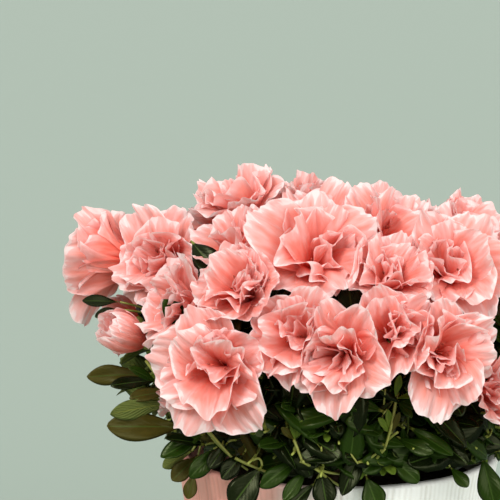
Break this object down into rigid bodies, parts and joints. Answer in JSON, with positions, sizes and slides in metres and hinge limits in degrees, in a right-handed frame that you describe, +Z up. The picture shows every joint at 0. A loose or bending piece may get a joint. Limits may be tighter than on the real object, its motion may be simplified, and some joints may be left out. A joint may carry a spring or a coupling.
{
  "type": "potted azalea shrub",
  "caption": "Low domed evergreen azalea with large double ruffled salmon-pink blossom over dark glossy leaves, growing in a tapered round glazed ceramic pot.",
  "frame": {"origin": "centre of the pot's flat underside", "axes": "+Z up, -Y towards the viewer of the front, +X to the right as seen from the front"},
  "size_m": [0.318, 0.3106, 0.3466],
  "materials": {
    "glaze": "gloss",
    "compost": "matte",
    "bark": "matte",
    "foliage": "satin"
  },
  "bodies": {
    "root": {"pot": "glaze", "compost": "compost", "trunk": "bark", "bough_front": "bark", "bough_front_right": "bark", "bough_right": "bark", "bough_back_right": "bark", "bough_back_left": "bark", "bough_left": "bark", "bough_front_left": "bark", "bough_top_front": "bark", "bough_top_right": "bark", "bough_top_back": "bark", "bough_top_left": "bark", "mass_front": "foliage", "mass_front_right": "foliage", "mass_right": "foliage", "mass_back_right": "foliage", "mass_back_left": "foliage", "mass_left": "foliage", "mass_front_left": "foliage", "mass_top_front": "foliage", "mass_top_right": "foliage", "mass_top_back": "foliage", "mass_top_left": "foliage"}
  },
  "joints": []
}
